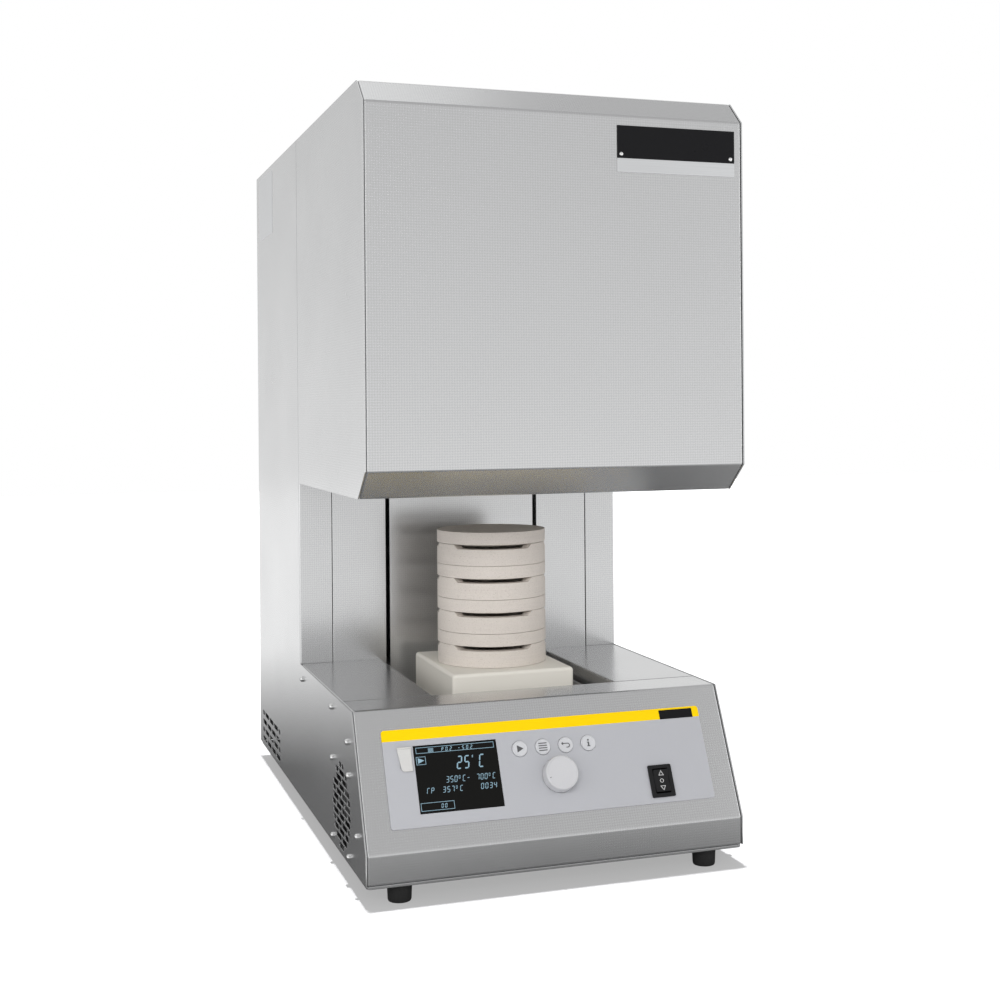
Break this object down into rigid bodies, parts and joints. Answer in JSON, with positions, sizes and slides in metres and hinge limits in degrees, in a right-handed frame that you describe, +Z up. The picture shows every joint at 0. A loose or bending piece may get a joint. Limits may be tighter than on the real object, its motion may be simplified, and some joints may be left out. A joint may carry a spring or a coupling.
{
  "type": "lift-bottom furnace",
  "caption": "Bench furnace with a fixed heated head; a ceramic floor plug on a spindle lift carries lidded round saggers up into the chamber, run from a sloped console.",
  "frame": {"origin": "on the bench under the middle of the furnace's outer box", "axes": "+X to the right seen from the front, +Y to the rear, +Z up"},
  "size_m": [0.35, 0.59, 0.695],
  "materials": {
    "textured_steel": "linen-textured stainless sheet",
    "inner_steel": "plain sheet",
    "machined_steel": "machined",
    "plug_ceramic": "matt, fired",
    "sagger_ceramic": "matt, fired",
    "fibre_insulation": "light ceramic fibre board",
    "element_ceramic": "dark, sintered",
    "overlay_foil": "satin foil",
    "display_glass": "gloss",
    "button_plastic": "satin",
    "dial_plastic": "satin",
    "flap_plastic": "satin",
    "black_plastic": "satin",
    "circuit_board": "coated",
    "foot_rubber": "matt"
  },
  "bodies": {
    "housing": {"base_plate": "textured_steel", "left_side_panel": "textured_steel", "right_side_panel": "textured_steel", "rear_panel": "textured_steel", "column_front_panel": "textured_steel", "base_deck": "textured_steel", "front_console": "textured_steel", "head_left_panel": "textured_steel", "head_right_panel": "textured_steel", "head_front_panel": "textured_steel", "head_floor_plate": "textured_steel", "top_cover": "textured_steel", "inner_casing": "inner_steel", "power_transformer": "inner_steel", "lift_motor": "inner_steel", "guide_rod_left": "machined_steel", "guide_rod_right": "machined_steel", "lower_bearing_plate": "machined_steel", "upper_bearing_plate": "machined_steel", "usb_socket": "machined_steel", "encoder_housing": "machined_steel", "thermocouple": "plug_ceramic", "heating_element_1": "element_ceramic", "heating_element_2": "element_ceramic", "heating_element_3": "element_ceramic", "heating_element_4": "element_ceramic", "chamber_insulation": "fibre_insulation", "roof_insulation": "fibre_insulation", "control_overlay": "overlay_foil", "display_module": "display_glass", "rocker_frame": "black_plastic", "power_inlet": "black_plastic", "fan_frame": "black_plastic", "controller_board": "circuit_board", "foot_front_left": "foot_rubber", "foot_front_right": "foot_rubber", "foot_rear_left": "foot_rubber", "foot_rear_right": "foot_rubber"},
    "lift": {"lift_table": "machined_steel", "plug_block": "plug_ceramic", "lift_carriage": "machined_steel"},
    "lead_screw": {"lead_screw": "machined_steel"},
    "fan_rotor": {"fan_rotor": "black_plastic"},
    "encoder_rotor": {"encoder_rotor": "black_plastic"},
    "dial_knob": {"dial_knob": "dial_plastic"},
    "usb_flap": {"usb_flap": "flap_plastic"},
    "rocker_paddle": {"rocker_paddle": "black_plastic"},
    "mains_switch_paddle": {"mains_switch_paddle": "black_plastic"},
    "sagger_stack": {"sagger_1": "sagger_ceramic", "sagger_lid_1": "sagger_ceramic", "sagger_2": "sagger_ceramic", "sagger_lid_2": "sagger_ceramic", "sagger_3": "sagger_ceramic", "sagger_lid_3": "sagger_ceramic", "sagger_4": "sagger_ceramic"},
    "top_lid": {"sagger_lid_4": "sagger_ceramic"},
    "button_start": {"button_start": "button_plastic"},
    "button_menu": {"button_menu": "button_plastic"},
    "button_back": {"button_back": "button_plastic"},
    "button_info": {"button_info": "button_plastic"}
  },
  "joints": [
    {"name": "lift_travel", "type": "slide", "parent": "housing", "child": "lift", "axis": [0, 0, 1], "range_m": [0, 0.1949]},
    {"name": "lead_screw_turn", "type": "hinge", "parent": "housing", "child": "lead_screw", "pos_m": [0, 0.07, 0.2], "axis": [0, 0, 1], "range_deg": [0, 8776]},
    {"name": "fan_spin", "type": "hinge", "parent": "housing", "child": "fan_rotor", "pos_m": [-0.161, -0.1867, 0.0612], "axis": [1, 0, 0], "continuous": true},
    {"name": "dial_turn", "type": "hinge", "parent": "housing", "child": "encoder_rotor", "pos_m": [0.00485, -0.2632, 0.09074], "axis": [0, -0.8968, 0.4423], "continuous": true},
    {"name": "dial_press", "type": "slide", "parent": "encoder_rotor", "child": "dial_knob", "axis": [0, 0.8968, -0.4423], "range_m": [0, 0.0008], "stiffness_N_per_m": 2500, "springref_m": -0.0004},
    {"name": "usb_flap_hinge", "type": "hinge", "parent": "housing", "child": "usb_flap", "pos_m": [-0.1328, -0.24998, 0.12319], "axis": [-1, 0, 0], "range_deg": [0, 100]},
    {"name": "lift_rocker_tilt", "type": "hinge", "parent": "housing", "child": "rocker_paddle", "pos_m": [0.1011, -0.26814, 0.07778], "axis": [1, 0, 0], "range_deg": [-8, 8], "stiffness_Nm_per_rad": 0.2},
    {"name": "mains_switch_tilt", "type": "hinge", "parent": "housing", "child": "mains_switch_paddle", "pos_m": [0.085, 0.2895, 0.092], "axis": [0, 0, 1], "range_deg": [-8, 8]},
    {"name": "sagger_stack_draw", "type": "slide", "parent": "lift", "child": "sagger_stack", "axis": [0, 1, 0], "range_m": [-0.25, 0]},
    {"name": "top_lid_lift", "type": "slide", "parent": "sagger_stack", "child": "top_lid", "axis": [0, 0, -1], "range_m": [-0.04, 0]},
    {"name": "button_start_press", "type": "slide", "parent": "housing", "child": "button_start", "axis": [0, 0.8968, -0.4423], "range_m": [0, 0.0008], "stiffness_N_per_m": 1500, "springref_m": -0.0004},
    {"name": "button_menu_press", "type": "slide", "parent": "housing", "child": "button_menu", "axis": [0, 0.8968, -0.4423], "range_m": [0, 0.0008], "stiffness_N_per_m": 1500, "springref_m": -0.0004},
    {"name": "button_back_press", "type": "slide", "parent": "housing", "child": "button_back", "axis": [0, 0.8968, -0.4423], "range_m": [0, 0.0008], "stiffness_N_per_m": 1500, "springref_m": -0.0004},
    {"name": "button_info_press", "type": "slide", "parent": "housing", "child": "button_info", "axis": [0, 0.8968, -0.4423], "range_m": [0, 0.0008], "stiffness_N_per_m": 1500, "springref_m": -0.0004}
  ],
  "couplings": [
    {"joint": "lead_screw_turn", "follows": "lift_travel", "rad_per_m": 785.4}
  ]
}
